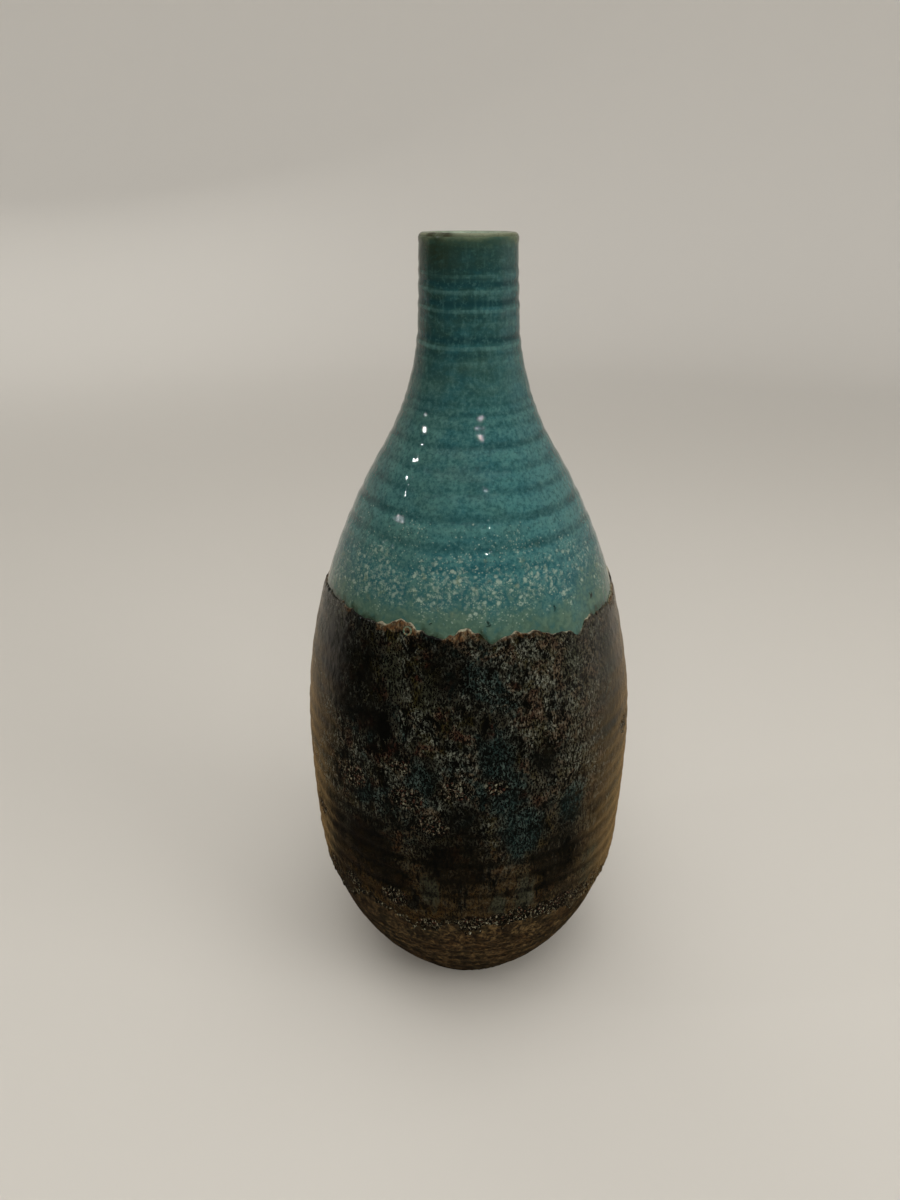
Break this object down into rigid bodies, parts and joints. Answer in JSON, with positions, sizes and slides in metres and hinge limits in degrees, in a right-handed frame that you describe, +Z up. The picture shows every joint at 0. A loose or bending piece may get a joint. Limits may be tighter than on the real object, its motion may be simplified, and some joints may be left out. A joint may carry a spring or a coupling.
{
  "type": "bottle vase",
  "caption": "Bottle vase with a narrow straight neck, long sloping shoulder and small foot: turquoise glaze above, dark crusted glaze on the belly, bare brown foot.",
  "frame": {"origin": "centre of the foot ring, on the face that the vase rests on", "axes": "+Z up along the vase's turning axis; -Y is the side that the picture shows"},
  "size_m": [0.1326, 0.1326, 0.3],
  "materials": {
    "clay": "bare fired stoneware, matt, fine dark specks",
    "liner_glaze": "pale celadon gloss glaze",
    "turquoise_glaze": "deep turquoise gloss glaze with pale crystal specks near its lower edge",
    "crust_glaze": "brown-black gloss glaze with blue-grey flecks and rust patches, crusted lower edge",
    "foot_slip": "olive-brown matt slip with throwing rings"
  },
  "bodies": {
    "root": {"clay_body": "clay", "liner_glaze": "liner_glaze", "turquoise_glaze": "turquoise_glaze", "crust_glaze": "crust_glaze", "foot_slip": "foot_slip"}
  },
  "joints": []
}
